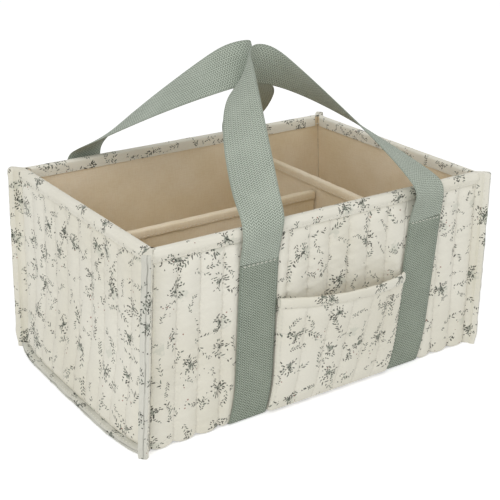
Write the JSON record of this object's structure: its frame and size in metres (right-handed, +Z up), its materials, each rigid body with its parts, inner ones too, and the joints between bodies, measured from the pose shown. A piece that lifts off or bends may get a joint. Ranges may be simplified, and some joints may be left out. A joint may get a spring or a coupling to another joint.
{
  "type": "diaper caddy",
  "caption": "Free-standing quilted fabric caddy with twisted webbing handles, a front pocket, bound seams and a lift-out T-shaped divider.",
  "frame": {"origin": "middle of the underside, on the floor plane", "axes": "+X along the long walls to the right seen from the front, -Y out of the front wall with the pocket, +Z up"},
  "size_m": [0.392, 0.2805, 0.309],
  "materials": {
    "print": "matte quilted cotton with a small printed sprig",
    "lining": "matte plain weave",
    "binding": "matte bias tape",
    "webbing": "ribbed cotton webbing",
    "board": "stiff foam board",
    "fastener": "hook and loop tape"
  },
  "bodies": {
    "caddy": {"base_cover": "binding", "base_board": "board", "base_lining": "lining", "front_quilted_panel": "print", "front_board": "board", "front_lining": "lining", "front_rim_hem": "print", "right_quilted_panel": "print", "right_board": "board", "right_lining": "lining", "right_rim_hem": "print", "back_quilted_panel": "print", "back_board": "board", "back_lining": "lining", "back_rim_hem": "print", "left_quilted_panel": "print", "left_board": "board", "left_lining": "lining", "left_rim_hem": "print", "right_bottom_binding": "binding", "left_bottom_binding": "binding", "front_left_corner_binding": "binding", "front_right_corner_binding": "binding", "back_right_corner_binding": "binding", "back_left_corner_binding": "binding", "front_left_strap": "webbing", "front_right_strap": "webbing", "back_right_strap": "webbing", "back_left_strap": "webbing", "pocket_panel": "print", "pocket_lining": "lining", "pocket_hem": "print", "front_loop_strip": "fastener", "back_loop_strip": "fastener", "left_loop_strip": "fastener"},
    "front_handle": {"front_handle": "webbing"},
    "back_handle": {"back_handle": "webbing"},
    "divider": {"cross_divider_board": "board", "cross_divider_cover": "lining", "cross_divider_top_binding": "binding", "cross_divider_front_hook_strip": "fastener", "cross_divider_back_hook_strip": "fastener"},
    "long_divider": {"long_divider_board": "board", "long_divider_cover": "lining", "long_divider_top_binding": "binding", "long_divider_hook_strip": "fastener"}
  },
  "joints": [
    {"name": "front_handle_swing", "type": "hinge", "parent": "caddy", "child": "front_handle", "pos_m": [0.018, -0.12726, 0.152], "axis": [1, 0, 0], "range_deg": [0, 165]},
    {"name": "back_handle_swing", "type": "hinge", "parent": "caddy", "child": "back_handle", "pos_m": [-0.018, 0.12726, 0.152], "axis": [-1, 0, 0], "range_deg": [0, 165]},
    {"name": "divider_lift", "type": "slide", "parent": "caddy", "child": "divider", "axis": [0, 0, 1], "range_m": [0, 0.03]},
    {"name": "long_divider_swing", "type": "hinge", "parent": "divider", "child": "long_divider", "pos_m": [0.0793, 0, 0.0785], "axis": [0, 0, 1], "range_deg": [-22, 22]}
  ]
}
